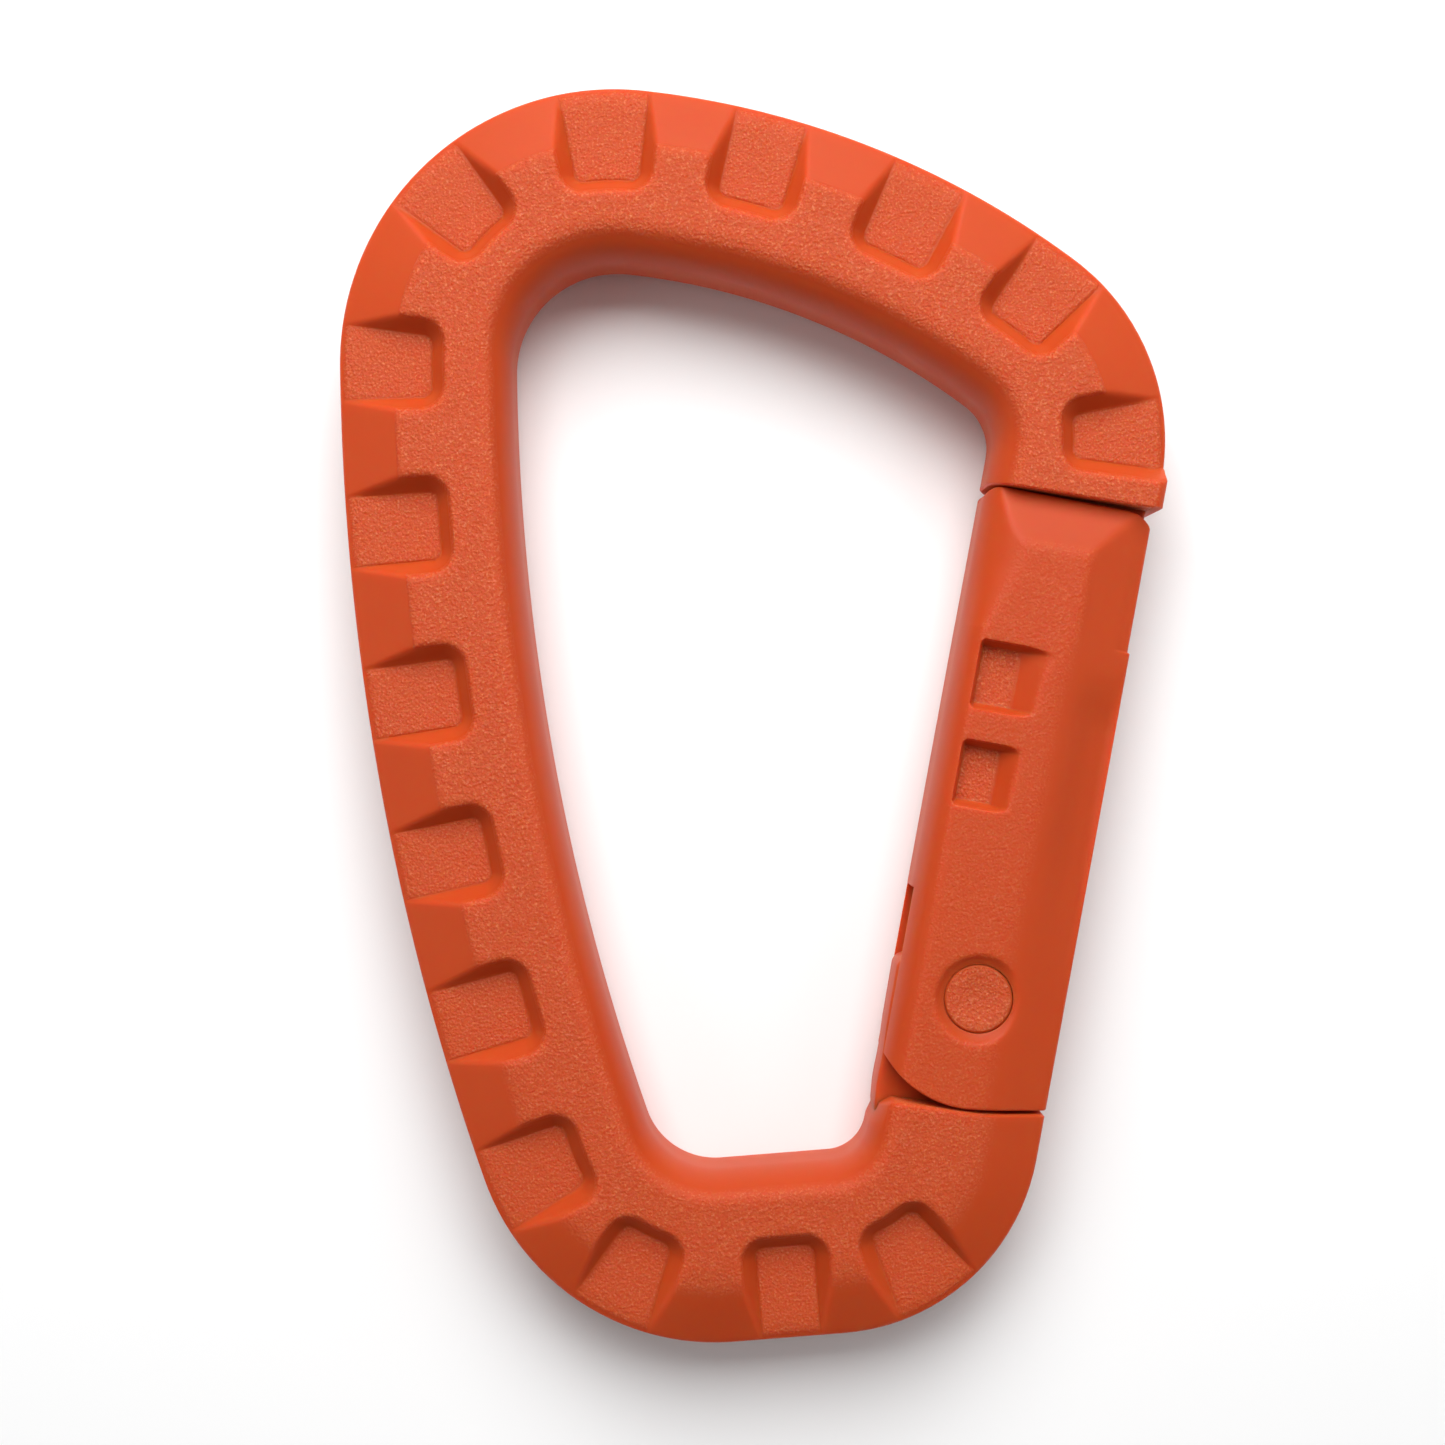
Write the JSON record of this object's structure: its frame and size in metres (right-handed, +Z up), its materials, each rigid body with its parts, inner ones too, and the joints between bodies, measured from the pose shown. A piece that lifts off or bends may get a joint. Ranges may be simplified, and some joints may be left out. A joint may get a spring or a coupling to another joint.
{
  "type": "carabiner keyring",
  "caption": "Moulded plastic D-shaped carabiner keyring with pocketed grip faces and an inward-swinging spring gate.",
  "frame": {"origin": "centre of the overall box in X and Y, on the plane of the underside it lies on", "axes": "+Z up through the thickness, +Y towards the wide end of the loop, +X towards the gate side; the gate hinges about +Z"},
  "size_m": [0.056, 0.085, 0.0096],
  "materials": {
    "orange_acetal": "moulded, fine eroded grain on the flats, satin on the bevels",
    "spring_steel": "drawn stainless wire"
  },
  "bodies": {
    "frame": {"frame": "orange_acetal", "pivot_pin": "orange_acetal"},
    "gate": {"gate": "orange_acetal", "gate_spring": "spring_steel"}
  },
  "joints": [
    {"name": "gate_hinge", "type": "hinge", "parent": "frame", "child": "gate", "pos_m": [0.01505, -0.0191, 0.0048], "axis": [0, 0, 1], "range_deg": [0, 33], "stiffness_Nm_per_rad": 0.12, "springref_deg": -40.11, "deforming": ["gate_spring"]}
  ]
}
